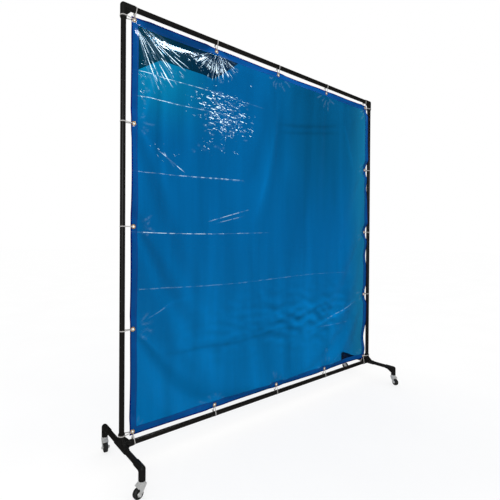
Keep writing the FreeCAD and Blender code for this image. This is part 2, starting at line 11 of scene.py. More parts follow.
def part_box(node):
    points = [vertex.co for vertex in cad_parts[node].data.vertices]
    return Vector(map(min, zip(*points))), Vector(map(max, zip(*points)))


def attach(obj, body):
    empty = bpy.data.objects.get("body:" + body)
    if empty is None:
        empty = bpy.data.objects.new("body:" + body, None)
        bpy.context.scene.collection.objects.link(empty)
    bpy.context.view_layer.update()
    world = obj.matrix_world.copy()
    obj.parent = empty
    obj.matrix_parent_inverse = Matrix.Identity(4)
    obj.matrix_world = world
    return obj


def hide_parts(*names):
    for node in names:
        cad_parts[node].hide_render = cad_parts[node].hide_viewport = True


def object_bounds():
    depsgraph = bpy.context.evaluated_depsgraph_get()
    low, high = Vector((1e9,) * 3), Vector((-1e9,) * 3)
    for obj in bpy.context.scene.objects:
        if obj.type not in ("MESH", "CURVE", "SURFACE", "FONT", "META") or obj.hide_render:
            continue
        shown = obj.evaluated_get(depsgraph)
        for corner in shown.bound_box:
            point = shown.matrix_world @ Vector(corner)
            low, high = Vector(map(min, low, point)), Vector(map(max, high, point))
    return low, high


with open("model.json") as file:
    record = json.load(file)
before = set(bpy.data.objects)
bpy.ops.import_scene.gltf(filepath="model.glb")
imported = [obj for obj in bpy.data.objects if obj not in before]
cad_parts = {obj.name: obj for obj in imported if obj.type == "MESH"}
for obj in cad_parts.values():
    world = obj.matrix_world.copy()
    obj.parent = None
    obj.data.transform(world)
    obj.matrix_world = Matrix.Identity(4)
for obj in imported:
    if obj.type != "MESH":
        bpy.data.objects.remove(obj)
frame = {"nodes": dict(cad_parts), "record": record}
cad_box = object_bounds()

# Welding curtain screen. Metres, +Z up, X along the rails, Y from the front to the back.

# Curtain. Its outline and eyelets come from the CAD model, and these say how its mesh is laid out.
EYELETS_PER_SIDE = 5
EYELET_INSET = 0.013          # eyelet centre from the curtain's edge
FILM_THICKNESS = 0.0005
HEM_WIDTH = 0.030
HEM_THICKNESS = 0.001         # the film with its edge folded to the back
HEM_STEP = 0.0006             # over which the hem's inner edge drops to the film
COARSE_CELLS = 54             # between two eyelets
FINE_CELLS = 108              # the same, in the crinkled corner
WELD_INSET = 0.0255           # the welded line along the hem
WELD_HALF_WIDTH = 0.0012
WELD_DEPTH = 0.00025
FREE_RADIUS = 0.022           # the film lies flat this close to an eyelet
SETTLED_RADIUS = 0.070        # and moves freely beyond this

# Drape
DRAPE_CELLS = 27              # of the simulated film, between two eyelets
DRAPE_FRAMES = 45
DRAPE_SLACK = 0.0022
DRAPE_LIMIT = 0.016           # furthest that the simulation may move a point
DRAPE_SWAY = 0.004            # unevenness of the film before it hangs
ALONG_SHARE = 0.3             # of the simulated movement along X that is kept
DOWN_SHARE = 0.4              # and of the movement along Z
SHADED_DRAPE = 0.25           # share of the drape that counts towards the film's shading
SLOPE_SHADE = 2.0             # how strongly the film's tilt paints shade and light into what it lets through
FOLD_PAINTED_SHADE = 1.7               # how strongly the soft folds' painted light and shade show
DARKEST_SHADE = 0.74
PALEST_SHADE = 1.24

# The right edge stands forward, except in stretches that curl back: lower end, upper end, depth
CURLED_BACK = ((0.150, 0.400, 0.018), (0.750, 0.930, 0.009), (1.200, 1.400, 0.008))
CURL_FORWARD = 0.017
CURL_REACH = 0.10             # width of film that the curl takes up

# Between eyelets the edges draw in, and this much of the film feels it
SCALLOP_REACH = 0.22
SCALLOP_LEFT = 0.001
SCALLOP_RIGHT = 0.0015
SCALLOP_TOP = 0.001
SCALLOP_BOTTOM = 0.003

# The film is taut along the top, to the right of its second eyelet
TAUT_DEPTH = 0.30
TAUT_START = 0.12             # to the right of the eyelet
TAUT_BLEND = 0.10
TAUT_SHARE = 0.25             # of the simulated movement that stays there

HANGING_RELIEF = 0.0035       # of the long folds that hang from the top
CRINKLE_RELIEF = 0.0045       # of the crinkles low down
CRINKLE_MIDDLE = (0.20, 0.50)
CRINKLE_SPREAD = (0.55, 0.13)
SEED = 11

# Camera
CAMERA_PLACE = Vector((-1.5083, -1.4354, 0.9530))
CAMERA_HEADING = math.radians(36.776)     # from +Y towards +X
CAMERA_PITCH = math.radians(-0.324)
CAMERA_ROLL = math.radians(0.334)
SENSOR_WIDTH = 36.0
CAMERA_LENS = 26.825
CAMERA_SHIFT = (0.07198, -0.02006)

# The dim reflected room would make plated metal look black, so the platings keep part of their own paleness
ZINC_METALLIC = 0.40
BRASS_METALLIC = 0.65
REFLECTED_ROOM = 0.035        # how bright the white room looks in reflections
FLOOR_GLOW = 0.74

# Light that the film lets through
FILM_MIDDLE = (0.000, 0.130, 0.365, 1.0)
FILM_LOW = (0.000, 0.148, 0.390, 1.0)
FILM_UPPER_RIGHT = (0.000, 0.108, 0.265, 1.0)
FILM_UPPER_LEFT = (0.001, 0.235, 0.450, 1.0)
# The right edge's paler, greener tint is a painted reflection haze.
FILM_RIGHT_PAINTED_HAZE = (0.006, 0.155, 0.310, 1.0)

# Colours of the film's haze, of the painted glints on its creases and of the hem
FILM_HAZE = (0.02, 0.22, 0.55, 1.0)
HAZE_SHARE = 0.03
PAINTED_GLINT_COLOUR = (0.66, 0.84, 0.94, 1.0)
HEM_DARK = (0.000, 0.036, 0.150, 1.0)
HEM_LIGHT = (0.001, 0.058, 0.215, 1.0)
HEM_ROLLED_EDGE = (0.001, 0.002, 0.085, 1.0)
HEM_WELD = (0.020, 0.030, 0.110, 1.0)
HEM_COVER = 0.93              # share of the light that the hem stops
FILM_GLOSS = 0.04             # share of the light that the film reflects straight on

# A dark glowing card that paints a dark reflection in the film, and shows only through it: its outline on the
# film, how far behind the film it is, and how far from the camera's line of sight it still shows
PAINTED_REFLECTION_OUTLINE = (
    (-0.836, 1.834),
    (-0.836, 1.650),
    (-0.730, 1.719),
    (-0.500, 1.718),
    (-0.448, 1.712),
    (-0.395, 1.745),
    (-0.285, 1.834),
)
PAINTED_REFLECTION_DEPTH = 0.9
PAINTED_REFLECTION_SPREAD = 14.0        # degrees
PAINTED_REFLECTION_COLOUR = (0.16, 0.14, 0.12, 1.0)

# Level creases left by the film's packing, each with a painted highlight line: height, how strongly each
# shows, and where it has faded out
PACKING_FOLDS = (
    (0.732, 0.12, 0.75),
    (0.978, 0.60, -0.05),
    (1.236, 0.22, -0.20),
    (1.548, 0.65, -0.25),
    (1.645, 0.60, -0.10),
)
FOLD_WANDER = 0.007
FOLD_WAVES = 4.5              # radians per metre along X
FOLD_FADE = 0.5               # length over which a packing fold's line fades out
FOLD_RELIEF = 0.0006          # height of the strongest one
SINGLE_RELIEF = 0.0014        # height of the strongest single crease
LINE_RELIEF_WIDTH = 0.0090    # half width of both as relief

# Noise level above which a painted glint shows, at the rim and in the middle of its patch
GLINT_RIM = 0.74
GLINT_DEPTH = 0.145
EDGE_OF_FAN = 6.0             # degrees over which a fan fades at either side

# Fans of thin creases drawn as painted glints at an eyelet: column, first and last heading in degrees,
# nearest and furthest reach, and how soon the lines break along their length
BRIGHT_FANS = (
    (0, -74.0, -16.0, 0.040, 0.300, 8.0),
    (1, -172.0, -18.0, 0.015, 0.150, 16.0),
)

# Scattered painted glints: middle, half size, heading in degrees, and how thickly they lie
GLINT_PATCHES = (
    ((-0.385, 1.560), (0.230, 0.140), -6.0, 1.0),
    ((-0.330, 1.500), (0.180, 0.060), -8.0, 0.8),
    ((-0.500, 1.780), (0.150, 0.040), -24.0, 0.9),
    ((-0.815, 1.600), (0.022, 0.130), -40.0, 0.7),
    ((-0.430, 1.385), (0.170, 0.050), -15.0, 0.45),
    ((-0.700, 1.320), (0.110, 0.060), -50.0, 0.25),
    ((-0.200, 1.741), (0.035, 0.018), -35.0, 0.8),
)

# Longer thin creases, each with a painted highlight line: start, end, and how strongly each shows
THIN_CREASES = (
    ((-0.740, 1.331), (-0.602, 1.247), 0.55),
    ((-0.715, 1.326), (-0.655, 1.262), 0.45),
    ((-0.690, 1.229), (-0.244, 1.247), 0.45),
    ((-0.472, 1.030), (-0.208, 1.100), 0.35),
    ((-0.430, 1.022), (-0.230, 1.068), 0.18),
    ((-0.798, 0.602), (-0.669, 0.666), 0.10),
    ((0.432, 0.448), (0.763, 0.535), 0.22),
    ((0.375, 0.412), (0.698, 0.409), 0.08),
)


# ---------------------------------------------------------------- shaders

class Shader:
    """A material's node tree, with short calls for the nodes used here."""

    def __init__(self, name, surface=True):
        self.material = bpy.data.materials.new(name)
        self.material.use_nodes = True
        self.tree = self.material.node_tree
        self.tree.nodes.clear()
        self.output = self.tree.nodes.new("ShaderNodeOutputMaterial")
        self.place = self.add("ShaderNodeTexCoord").outputs["Object"]
        self.surface = None
        if surface:
            self.surface = self.add("ShaderNodeBsdfPrincipled")
            self.link(self.surface.outputs["BSDF"], self.output.inputs["Surface"])

    def link(self, source, target):
        self.tree.links.new(source, target)

    def add(self, kind, **inputs):
        node = self.tree.nodes.new(kind)
        for name, value in inputs.items():
            self.feed(node.inputs[name.replace("_", " ")], value)
        return node

    def feed(self, socket, value):
        if isinstance(value, bpy.types.NodeSocket):
            self.link(value, socket)
        else:
            socket.default_value = value

    def set(self, **inputs):
        for name, value in inputs.items():
            self.feed(self.surface.inputs[name.replace("_", " ")], value)

    def math(self, operation, first, second=0.0, third=0.0):
        node = self.tree.nodes.new("ShaderNodeMath")
        node.operation = operation
        for socket, value in zip(node.inputs, (first, second, third)):
            self.feed(socket, value)
        return node.outputs["Value"]

    def sum_of_squares(self, first, second):
        return self.math("ADD", self.math("POWER", first, 2.0), self.math("POWER", second, 2.0))

    def turned(self, x, z, cosine, sine):
        """How far (x, z) lies along a heading, and how far to its left."""
        along = self.math("ADD", self.math("MULTIPLY", x, cosine), self.math("MULTIPLY", z, sine))
        across = self.math("SUBTRACT", self.math("MULTIPLY", z, cosine), self.math("MULTIPLY", x, sine))
        return along, across

    def noise_at(self, place, detail, distortion=0.0):
        """Noise with one cycle per unit of the place that is given."""
        node = self.add("ShaderNodeTexNoise", Vector=place, Scale=1.0, Detail=detail, Distortion=distortion)
        return node.outputs["Fac"]

    def noise(self, scale, detail=3.0, stretch=None, distortion=0.0):
        """Noise with its scale in cycles per metre, which stretch changes along each axis."""
        place = self.place
        if stretch is not None:
            place = self.add("ShaderNodeMapping", Vector=place, Scale=stretch).outputs["Vector"]
        node = self.add("ShaderNodeTexNoise", Vector=place, Scale=scale, Detail=detail, Distortion=distortion)
        return node.outputs["Fac"]

    def spread(self, value, low, high, out_low=0.0, out_high=1.0, smooth=False):
        """The value's range from low to high, mapped onto another range."""
        node = self.tree.nodes.new("ShaderNodeMapRange")
        node.interpolation_type = "SMOOTHSTEP" if smooth else "LINEAR"
        for name, number in (("Value", value), ("From Min", low), ("From Max", high),
                             ("To Min", out_low), ("To Max", out_high)):
            self.feed(node.inputs[name], number)
        return node.outputs["Result"]

    def mix(self, share, first, second, blend="MIX"):
        node = self.tree.nodes.new("ShaderNodeMixRGB")
        node.blend_type = blend
        self.feed(node.inputs["Fac"], share)
        self.feed(node.inputs["Color1"], first)
        self.feed(node.inputs["Color2"], second)
        return node.outputs["Color"]

    def bump(self, height, distance, strength=1.0, normal=None):
        node = self.add("ShaderNodeBump", Strength=strength, Distance=distance, Height=height)
        if normal is not None:
            self.link(normal, node.inputs["Normal"])
        return node.outputs["Normal"]

    def attribute(self, name):
        node = self.tree.nodes.new("ShaderNodeAttribute")
        node.attribute_name = name
        return node.outputs["Fac"]

    def edge_wear(self, radius):
        """1 on sharp outside edges and 0 on open faces."""
        bevel = self.add("ShaderNodeBevel", Radius=radius)
        normal = self.add("ShaderNodeNewGeometry").outputs["Normal"]
        node = self.tree.nodes.new("ShaderNodeVectorMath")
        node.operation = "DOT_PRODUCT"
        self.link(bevel.outputs["Normal"], node.inputs[0])
        self.link(normal, node.inputs[1])
        return self.spread(node.outputs["Value"], 0.995, 0.90)


def grey(level, warmth=0.0):
    return (level * (1 + warmth), level, level * (1 - warmth), 1.0)


def tube_material():
    """Satin black powder coat: a fine orange peel, faintly rubbed spots and dulled patches."""
    shader = Shader("black_powder_coat")
    peel = shader.noise(900.0, detail=2.0)
    patches = shader.noise(7.0, detail=4.0)
    rubbed = shader.spread(shader.noise(260.0, detail=5.0), 0.56, 0.74)
    colour = shader.mix(patches, grey(0.0045, 0.10), grey(0.009, 0.14))
    colour = shader.mix(shader.math("MULTIPLY", rubbed, 0.30), colour, grey(0.030, 0.10))
    shader.set(
        Base_Color=colour,
        Roughness=shader.spread(patches, 0.3, 0.7, 0.30, 0.42),
        Specular_IOR_Level=0.35,
        Normal=shader.bump(peel, 0.00012, 0.5),
    )
    return shader.material


def fitting_material():
    """Moulded black plastic with a fine spark-eroded texture that is rubbed smooth along its edges."""
    shader = Shader("black_moulded_plastic")
    grain = shader.noise(1400.0, detail=4.0)
    patches = shader.noise(18.0, detail=3.0)
    worn = shader.math("MULTIPLY", shader.edge_wear(0.0012), shader.spread(patches, 0.3, 0.6, 0.4, 1.0))
    colour = shader.mix(patches, grey(0.005, 0.05), grey(0.009, 0.08))
    colour = shader.mix(worn, colour, grey(0.055, 0.06))
    shader.set(
        Base_Color=colour,
        Roughness=shader.spread(grain, 0.3, 0.7, 0.42, 0.58),
        Specular_IOR_Level=0.4,
        Normal=shader.bump(grain, 0.00015, 0.5),
    )
    return shader.material


def cable_tie_material():
    """Milky nylon, which lets a little light through and has fine ratchet teeth across the strap."""
    shader = Shader("natural_nylon")
    cloud = shader.noise(120.0, detail=3.0)
    teeth = shader.noise(900.0, detail=1.0)
    shader.set(
        Base_Color=shader.mix(cloud, grey(0.34, 0.02), grey(0.46, 0.04)),
        Roughness=shader.spread(cloud, 0.3, 0.7, 0.32, 0.48),
        Subsurface_Weight=0.15,
        Subsurface_Radius=(0.002, 0.002, 0.0017),
        Subsurface_Scale=1.0,
        Normal=shader.bump(teeth, 0.0001, 0.4),
    )
    return shader.material


def brass_material():
    """Pressed brass, lightly tarnished, with drawn marks round the flanges."""
    shader = Shader("pressed_brass")
    tarnish = shader.spread(shader.noise(160.0, detail=5.0), 0.42, 0.68)
    marks = shader.noise(2200.0, detail=2.0)
    shader.set(
        Base_Color=shader.mix(tarnish, (0.83, 0.55, 0.20, 1.0), (0.42, 0.24, 0.08, 1.0)),
        Metallic=BRASS_METALLIC,
        Roughness=shader.spread(tarnish, 0.0, 1.0, 0.24, 0.46),
        Normal=shader.bump(marks, 0.00004, 0.35),
    )
    return shader.material


def zinc_material():
    """Bright zinc plate: a faint bluish spangle, fine scratches and worn edges."""
    shader = Shader("zinc_plate")
    spangle = shader.noise(220.0, detail=4.0)
    scratches = shader.noise(1600.0, detail=3.0, stretch=(1.0, 1.0, 0.15))
    worn = shader.edge_wear(0.0008)
    colour = shader.mix(spangle, (0.50, 0.52, 0.54, 1.0), (0.74, 0.73, 0.70, 1.0))
    colour = shader.mix(worn, colour, (0.85, 0.85, 0.84, 1.0))
    shader.set(
        Base_Color=colour,
        Metallic=ZINC_METALLIC,
        Roughness=shader.spread(scratches, 0.3, 0.7, 0.24, 0.44),
        Normal=shader.bump(scratches, 0.00005, 0.4),
    )
    return shader.material


def bearing_steel_material():
    shader = Shader("bearing_steel")
    oil = shader.noise(300.0, detail=3.0)
    shader.set(
        Base_Color=shader.mix(oil, (0.52, 0.52, 0.53, 1.0), (0.68, 0.67, 0.65, 1.0)),
        Metallic=1.0,
        Roughness=shader.spread(oil, 0.3, 0.7, 0.10, 0.22),
    )
    return shader.material


def stem_insert_material():
    shader = Shader("insert_plastic")
    grain = shader.noise(1100.0, detail=3.0)
    shader.set(
        Base_Color=shader.mix(grain, grey(0.012), grey(0.022)),
        Roughness=shader.spread(grain, 0.3, 0.7, 0.45, 0.62),
        Normal=shader.bump(grain, 0.0001, 0.4),
    )
    return shader.material


def wheel_hub_material():
    """Dark moulded nylon with faint flow marks."""
    shader = Shader("hub_nylon")
    flow = shader.noise(90.0, detail=4.0, distortion=1.2)
    shader.set(
        Base_Color=shader.mix(flow, grey(0.020, 0.03), grey(0.040, 0.05)),
        Roughness=shader.spread(flow, 0.3, 0.7, 0.38, 0.55),
        Normal=shader.bump(flow, 0.00008, 0.35),
    )
    return shader.material


def tyre_material():
    """Smooth black rubber, dusty where it rolls."""
    shader = Shader("tyre_rubber")
    dust = shader.spread(shader.noise(140.0, detail=5.0), 0.48, 0.75)
    pores = shader.noise(1800.0, detail=3.0)
    shader.set(
        Base_Color=shader.mix(shader.math("MULTIPLY", dust, 0.5), grey(0.012), grey(0.075, 0.06)),
        Roughness=shader.spread(dust, 0.0, 1.0, 0.55, 0.85),
        Normal=shader.bump(pores, 0.00012, 0.5),
    )
    return shader.material


def film_tint(shader):
    """How much of each colour the sheet lets through: deep blue, paler low down and at the upper left, darker
    at the upper right, with a paler, greener painted reflection haze at the right edge.
    """
    across = shader.add("ShaderNodeSeparateXYZ", Vector=shader.place)
    x = across.outputs["X"]
    z = across.outputs["Z"]
    low = shader.spread(z, 1.0, 0.2, smooth=True)
    upper_right = shader.math(
        "MULTIPLY", shader.spread(x, -0.25, 0.35, smooth=True), shader.spread(z, 0.9, 1.6, smooth=True))
    upper_left = shader.math(
        "MULTIPLY", shader.spread(x, -0.35, -0.75, smooth=True), shader.spread(z, 1.35, 1.7, smooth=True))
    right_painted_haze = shader.spread(x, 0.62, 0.84, smooth=True)
    tint = shader.mix(low, FILM_MIDDLE, FILM_LOW)
    tint = shader.mix(upper_right, tint, FILM_UPPER_RIGHT)
    tint = shader.mix(upper_left, tint, FILM_UPPER_LEFT)
    tint = shader.mix(right_painted_haze, tint, FILM_RIGHT_PAINTED_HAZE)
    # Painted shade and light of soft folds as broad vertical bands, with faint vertical stripes; the shade
    # attribute adds the painted shading from the film's tilt and soft folds.
    folds = shader.noise(1.0, detail=2.0, stretch=(6.0, 1.0, 1.0), distortion=0.5)
    drawn = shader.noise(1.0, detail=3.0, stretch=(70.0, 1.0, 2.0))
    broad = shader.spread(folds, 0.32, 0.68, 0.84, 1.14)
    narrow = shader.spread(drawn, 0.3, 0.7, -0.025, 0.025)
    shade = shader.math("MULTIPLY", shader.math("ADD", broad, narrow), shader.attribute("shade"))
    shade = shader.add("ShaderNodeCombineColor", Red=shade, Green=shade, Blue=shade).outputs["Color"]
    return shader.mix(1.0, tint, shade, blend="MULTIPLY")


def fan_glints(shader, x, z, fan_at):
    """Thin painted glint lines that run out from an eyelet."""
    column, first, last, near, far, breaks = fan_at
    off_x = shader.math("SUBTRACT", x, float(EYELET_X[column]))
    off_z = shader.math("SUBTRACT", z, float(EYELET_Z[-1]))
    heading = shader.math("MULTIPLY", shader.math("ARCTAN2", off_z, off_x), 180.0 / math.pi)
    reach = shader.math("SQRT", shader.sum_of_squares(off_x, off_z))
    place = shader.add(
        "ShaderNodeCombineXYZ",
        X=shader.math("MULTIPLY", heading, 0.50),
        Y=shader.math("MULTIPLY", reach, breaks),
        Z=float(column),
    ).outputs["Vector"]
    lines = shader.spread(shader.noise_at(place, 2.0, 0.6), 0.608, 0.640)
    lines = shader.math("MULTIPLY", lines, shader.spread(reach, near, near * 1.5))
    lines = shader.math("MULTIPLY", lines, shader.spread(reach, far, far * 0.8))
    lines = shader.math("MULTIPLY", lines, shader.spread(heading, first, first + EDGE_OF_FAN))
    return shader.math("MULTIPLY", lines, shader.spread(heading, last, last - EDGE_OF_FAN))


def patch_glints(shader, x, z, patch):
    """Short thin painted glint dashes, thickest in the middle of a patch."""
    (middle_x, middle_z), (half_x, half_z), heading, density = patch
    turn = math.radians(heading)
    off_x = shader.math("SUBTRACT", x, middle_x)
    off_z = shader.math("SUBTRACT", z, middle_z)
    along, across = shader.turned(off_x, off_z, math.cos(turn), math.sin(turn))
    place = shader.add(
        "ShaderNodeCombineXYZ",
        X=shader.math("MULTIPLY", along, 42.0),
        Y=middle_x,
        Z=shader.math("MULTIPLY", across, 185.0),
    ).outputs["Vector"]
    dashes = shader.noise_at(place, 2.0, 0.9)
    outward = shader.sum_of_squares(
        shader.math("DIVIDE", off_x, half_x),
        shader.math("DIVIDE", off_z, half_z),
    )
    inside = shader.spread(outward, 1.0, 0.0)
    limit = shader.spread(inside, 0.0, 1.0, GLINT_RIM, GLINT_RIM - GLINT_DEPTH * density)
    lines = shader.spread(shader.math("SUBTRACT", dashes, limit), 0.0, 0.03)
    return shader.math("MULTIPLY", lines, shader.math("GREATER_THAN", inside, 0.01))


def fold_glints(shader, x, z):
    """The thin painted highlight line of each packing fold, fading towards the right."""
    total = 0.0
    for index, (height, strength, end) in enumerate(PACKING_FOLDS):
        turn = shader.math("MULTIPLY_ADD", x, FOLD_WAVES, float(index))
        level = shader.math("MULTIPLY_ADD", shader.math("SINE", turn), FOLD_WANDER, height)
        off = shader.math("ABSOLUTE", shader.math("SUBTRACT", z, level))
        fading = shader.spread(x, end - FOLD_FADE, end, strength, 0.0)
        line = shader.math("MULTIPLY", shader.spread(off, 0.0019, 0.0006), fading)
        total = shader.math("MAXIMUM", total, line)
    return total


def crease_glint(shader, x, z, crease):
    """One thin straight painted highlight line."""
    (start_x, start_z), (end_x, end_z), strength = crease
    length = math.hypot(end_x - start_x, end_z - start_z)
    step_x = (end_x - start_x) / length
    step_z = (end_z - start_z) / length
    off_x = shader.math("SUBTRACT", x, start_x)
    off_z = shader.math("SUBTRACT", z, start_z)
    along, across = shader.turned(off_x, off_z, step_x, step_z)
    line = shader.math("MULTIPLY", shader.spread(shader.math("ABSOLUTE", across), 0.0024, 0.0008), strength)
    line = shader.math("MULTIPLY", line, shader.spread(along, 0.0, 0.2 * length))
    return shader.math("MULTIPLY", line, shader.spread(along, length, 0.8 * length))


def film_glints(shader):
    """Where painted glints stand for sharp little creases catching the light, from 0 to 1."""
    across = shader.add("ShaderNodeSeparateXYZ", Vector=shader.place)
    x = across.outputs["X"]
    z = across.outputs["Z"]
    glints = fold_glints(shader, x, z)
    for crease in THIN_CREASES:
        glints = shader.math("MAXIMUM", glints, crease_glint(shader, x, z, crease))
    place = shader.add(
        "ShaderNodeCombineXYZ",
        X=shader.math("MULTIPLY", x, 30.0),
        Z=shader.math("MULTIPLY", z, 9.0),
    ).outputs["Vector"]
    gaps = shader.noise_at(place, 3.0)
    glints = shader.math("MULTIPLY", glints, shader.spread(gaps, 0.46, 0.56, 0.10, 1.0))
    for fan_at in BRIGHT_FANS:
        glints = shader.math("MAXIMUM", glints, fan_glints(shader, x, z, fan_at))
    for patch in GLINT_PATCHES:
        glints = shader.math("MAXIMUM", glints, patch_glints(shader, x, z, patch))
    return glints


def gloss_share(shader, straight_on):
    """The share of light a face reflects, the same from both sides of it, rising at a glancing angle."""
    facing = shader.add("ShaderNodeLayerWeight", Blend=0.5).outputs["Facing"]
    glancing = shader.math("POWER", facing, 5.0)
    return shader.math("MULTIPLY_ADD", glancing, 1.0 - straight_on, straight_on)


def blended(shader, share, first, second):
    node = shader.add("ShaderNodeMixShader", Fac=share)
    shader.link(first, node.inputs[1])
    shader.link(second, node.inputs[2])
    return node.outputs["Shader"]


def film_material():
    """Glossy translucent blue film, nearly opaque where the hem doubles it, with painted glints that make it
    paler along its creases.
    """
    shader = Shader("blue_film", surface=False)
    fine = shader.noise(240.0, detail=3.0, stretch=(1.0, 1.0, 0.25))
    ripple = shader.noise(34.0, detail=4.0, distortion=0.8)
    normal = shader.bump(ripple, 0.0004, 0.20)
    normal = shader.bump(fine, 0.00004, 0.30, normal)

    # Light crosses two faces of the sheet, so each lets through the square root of the whole.
    face_tint = shader.add("ShaderNodeGamma", Color=film_tint(shader), Gamma=0.5).outputs["Color"]
    clear = shader.add("ShaderNodeBsdfTransparent", Color=face_tint).outputs["BSDF"]
    haze = shader.add("ShaderNodeBsdfTranslucent", Color=FILM_HAZE, Normal=normal).outputs["BSDF"]
    body = blended(shader, HAZE_SHARE, clear, haze)

    edge = shader.attribute("edge_distance")
    cloud = shader.noise(22.0, detail=4.0)
    strip = shader.mix(cloud, HEM_DARK, HEM_LIGHT)
    rolled = shader.spread(edge, 0.0065, 0.0045)
    strip = shader.mix(rolled, strip, HEM_ROLLED_EDGE)
    welded = shader.math("MULTIPLY", shader.attribute("weld"), 0.7)
    strip = shader.mix(welded, strip, HEM_WELD)
    doubled = shader.add("ShaderNodeBsdfDiffuse", Color=strip, Normal=normal).outputs["BSDF"]
    hem = shader.math("MULTIPLY", shader.spread(edge, HEM_WIDTH + HEM_STEP, HEM_WIDTH), HEM_COVER)
    body = blended(shader, hem, body, doubled)

    # Painted glints: the crease attribute and the glint lines whiten the film as if its creases caught the
    # light.
    painted_glint = shader.add("ShaderNodeBsdfDiffuse", Color=PAINTED_GLINT_COLOUR, Normal=normal).outputs["BSDF"]
    lines = shader.math("MULTIPLY", film_glints(shader), shader.math("SUBTRACT", 1.0, hem))
    body = blended(shader, shader.math("MAXIMUM", shader.attribute("crease"), lines), body, painted_glint)
    gloss = shader.add("ShaderNodeBsdfGlossy", Color=(0.95, 0.97, 1.0, 1.0), Roughness=0.09, Normal=normal)
    surface = blended(shader, gloss_share(shader, FILM_GLOSS), body, gloss.outputs["BSDF"])
    shader.link(surface, shader.output.inputs["Surface"])
    return shader.material


# ---------------------------------------------------------------- curtain

curtain_low, curtain_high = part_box("curtain_sheet")
SHEET_FRONT = curtain_low.y
EYELET_X = np.linspace(curtain_low.x + EYELET_INSET, curtain_high.x - EYELET_INSET, EYELETS_PER_SIDE)
EYELET_Z = np.linspace(curtain_low.z + EYELET_INSET, curtain_high.z - EYELET_INSET, EYELETS_PER_SIDE)
BAY = EYELET_X[1] - EYELET_X[0]
HOLE_BLOCK = BAY / COARSE_CELLS


def eyelet_places():
    """Places of the eyelets round the edge, corners included, as (x, z)."""
    last = EYELETS_PER_SIDE - 1
    places = []
    for column, x in enumerate(EYELET_X):
        for row, z in enumerate(EYELET_Z):
            if column in (0, last) or row in (0, last):
                places.append((x, z))
    return places


def grid_lines(eyelets, cells_in_bay):
    """Lines of the film's mesh along one axis: even between eyelets, and along the hem at both ends."""
    hem = [
        0.0,
        0.0015,
        EYELET_INSET - HOLE_BLOCK,
        EYELET_INSET,
        EYELET_INSET + HOLE_BLOCK,
        WELD_INSET - WELD_HALF_WIDTH,
        WELD_INSET,
        WELD_INSET + WELD_HALF_WIDTH,
        HEM_WIDTH,
        HEM_WIDTH + HEM_STEP,
    ]
    first = eyelets[0] - EYELET_INSET
    last = eyelets[-1] + EYELET_INSET
    clear_of_hem = HEM_WIDTH + 2 * HEM_STEP
    lines = [first + inset for inset in hem] + [last - inset for inset in hem]
    for bay, cells in enumerate(cells_in_bay):
        for position in np.linspace(eyelets[bay], eyelets[bay + 1], cells + 1)[:-1]:
            if first + clear_of_hem < position < last - clear_of_hem:
                lines.append(position)
    return np.array(sorted(lines))


def smooth(value):
    value = np.clip(value, 0.0, 1.0)
    return value * value * (3.0 - 2.0 * value)


def freedom(x, z):
    """0 beside an eyelet, where the film can't move, and 1 away from all of them."""
    free = np.ones_like(x)
    for eyelet_x, eyelet_z in eyelet_places():
        distance = np.hypot(x - eyelet_x, z - eyelet_z)
        free = np.minimum(free, smooth((distance - FREE_RADIUS) / (SETTLED_RADIUS - FREE_RADIUS)))
    return free


def drape_lattice():
    """The coarse film that is simulated, and which of its points are held by eyelets."""
    spans = DRAPE_CELLS * (EYELETS_PER_SIDE - 1)
    between_x = np.linspace(EYELET_X[0], EYELET_X[-1], spans + 1)
    between_z = np.linspace(EYELET_Z[0], EYELET_Z[-1], spans + 1)
    x_lines = np.concatenate([[curtain_low.x], between_x, [curtain_high.x]])
    z_lines = np.concatenate([[curtain_low.z], between_z, [curtain_high.z]])
    count = len(z_lines)
    points = []
    held = []
    for i, x in enumerate(x_lines):
        for j, z in enumerate(z_lines):
            sway = DRAPE_SWAY * noise.noise(Vector((2.2 * x, 5.0, 1.3 * z)))
            points.append((x, sway, z))
            on_edge_line = i in (1, count - 2) or j in (1, count - 2)
            at_column = (i - 1) % DRAPE_CELLS == 0 and 1 <= i <= count - 2
            at_row = (j - 1) % DRAPE_CELLS == 0 and 1 <= j <= count - 2
            if on_edge_line and at_column and at_row:
                held.append(i * count + j)
    faces = []
    for i in range(len(x_lines) - 1):
        for j in range(count - 1):
            corner = i * count + j
            faces.append((corner, corner + count, corner + count + 1, corner + 1))
    return x_lines, z_lines, points, faces, held


def simulated_drape():
    """Lattice lines, and how far the film's points move when it hangs slack from its eyelets."""
    x_lines, z_lines, points, faces, held = drape_lattice()
    mesh = bpy.data.meshes.new("drape")
    mesh.from_pydata(points, [], faces)
    piece = bpy.data.objects.new("drape", mesh)
    bpy.context.scene.collection.objects.link(piece)
    pins = piece.vertex_groups.new(name="held")
    pins.add(held, 1.0, "REPLACE")
    cloth = piece.modifiers.new("drape", "CLOTH")
    settings = cloth.settings
    settings.vertex_group_mass = "held"
    settings.quality = 6
    settings.mass = 0.12
    settings.tension_stiffness = 60.0
    settings.compression_stiffness = 25.0
    settings.shear_stiffness = 12.0
    settings.bending_stiffness = 0.8
    settings.air_damping = 6.0
    settings.shrink_min = -DRAPE_SLACK
    cloth.collision_settings.use_collision = False
    cloth.point_cache.frame_start = 1
    cloth.point_cache.frame_end = DRAPE_FRAMES
    scene = bpy.context.scene
    for step in range(1, DRAPE_FRAMES + 1):
        scene.frame_set(step)
    moved = piece.evaluated_get(bpy.context.evaluated_depsgraph_get())
    flat = np.empty(len(points) * 3)
    moved.data.vertices.foreach_get("co", flat)
    shift = flat.reshape(-1, 3) - np.array([(x, 0.0, z) for x, _, z in points])
    bpy.data.objects.remove(piece)
    bpy.data.meshes.remove(mesh)
    scene.frame_set(1)
    shift = np.clip(shift, -DRAPE_LIMIT, DRAPE_LIMIT)
    return x_lines, z_lines, shift.reshape(len(x_lines), len(z_lines), 3)


